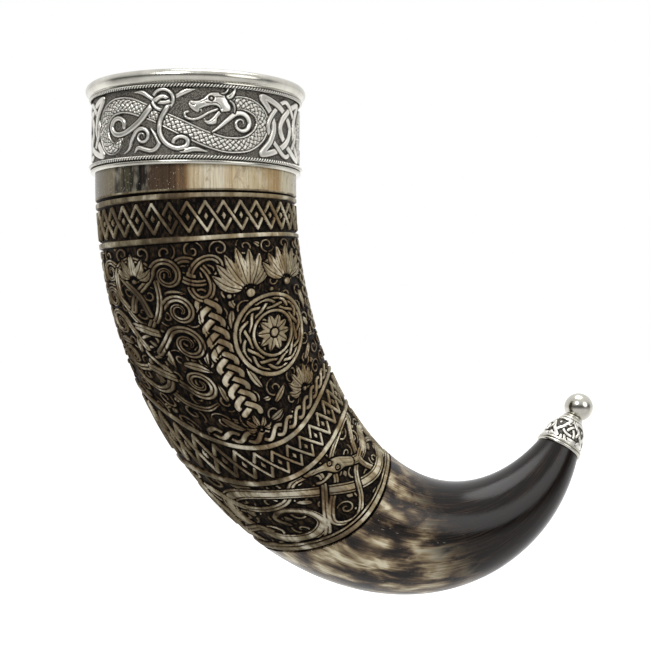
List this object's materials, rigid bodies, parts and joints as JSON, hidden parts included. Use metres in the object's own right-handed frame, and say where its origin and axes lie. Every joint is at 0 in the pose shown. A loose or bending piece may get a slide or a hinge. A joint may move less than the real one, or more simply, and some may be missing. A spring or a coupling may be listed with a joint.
{
  "type": "drinking horn",
  "caption": "Curved carved drinking horn with an embossed metal collar and sleeve at its mouth and a metal cap with a ball finial on its tip.",
  "frame": {"origin": "centre of the mouth, level with the top of the inner sleeve", "axes": "+Z out of the mouth, +X towards the side that the horn bends to, +Y away from the side shown as its front"},
  "size_m": [0.1911, 0.08, 0.1865],
  "materials": {
    "horn": "polished horn, carved with a dark stained ground",
    "bedding": "dark bedding compound",
    "polished_metal": "polished white metal",
    "antiqued_metal": "antiqued white metal with dark recesses",
    "steel": "plain steel"
  },
  "bodies": {
    "root": {"horn_shell": "horn", "mouth_bedding": "bedding", "mouth_sleeve": "polished_metal", "rim_lip": "polished_metal", "collar_band": "antiqued_metal", "upper_wire": "antiqued_metal", "lower_wire": "antiqued_metal", "foot_bead": "polished_metal", "cap_bedding": "bedding", "tip_cap": "antiqued_metal", "base_bead": "polished_metal", "base_wire": "polished_metal", "neck_ring": "polished_metal", "ball_finial": "polished_metal", "finial_stud": "steel"}
  },
  "joints": []
}
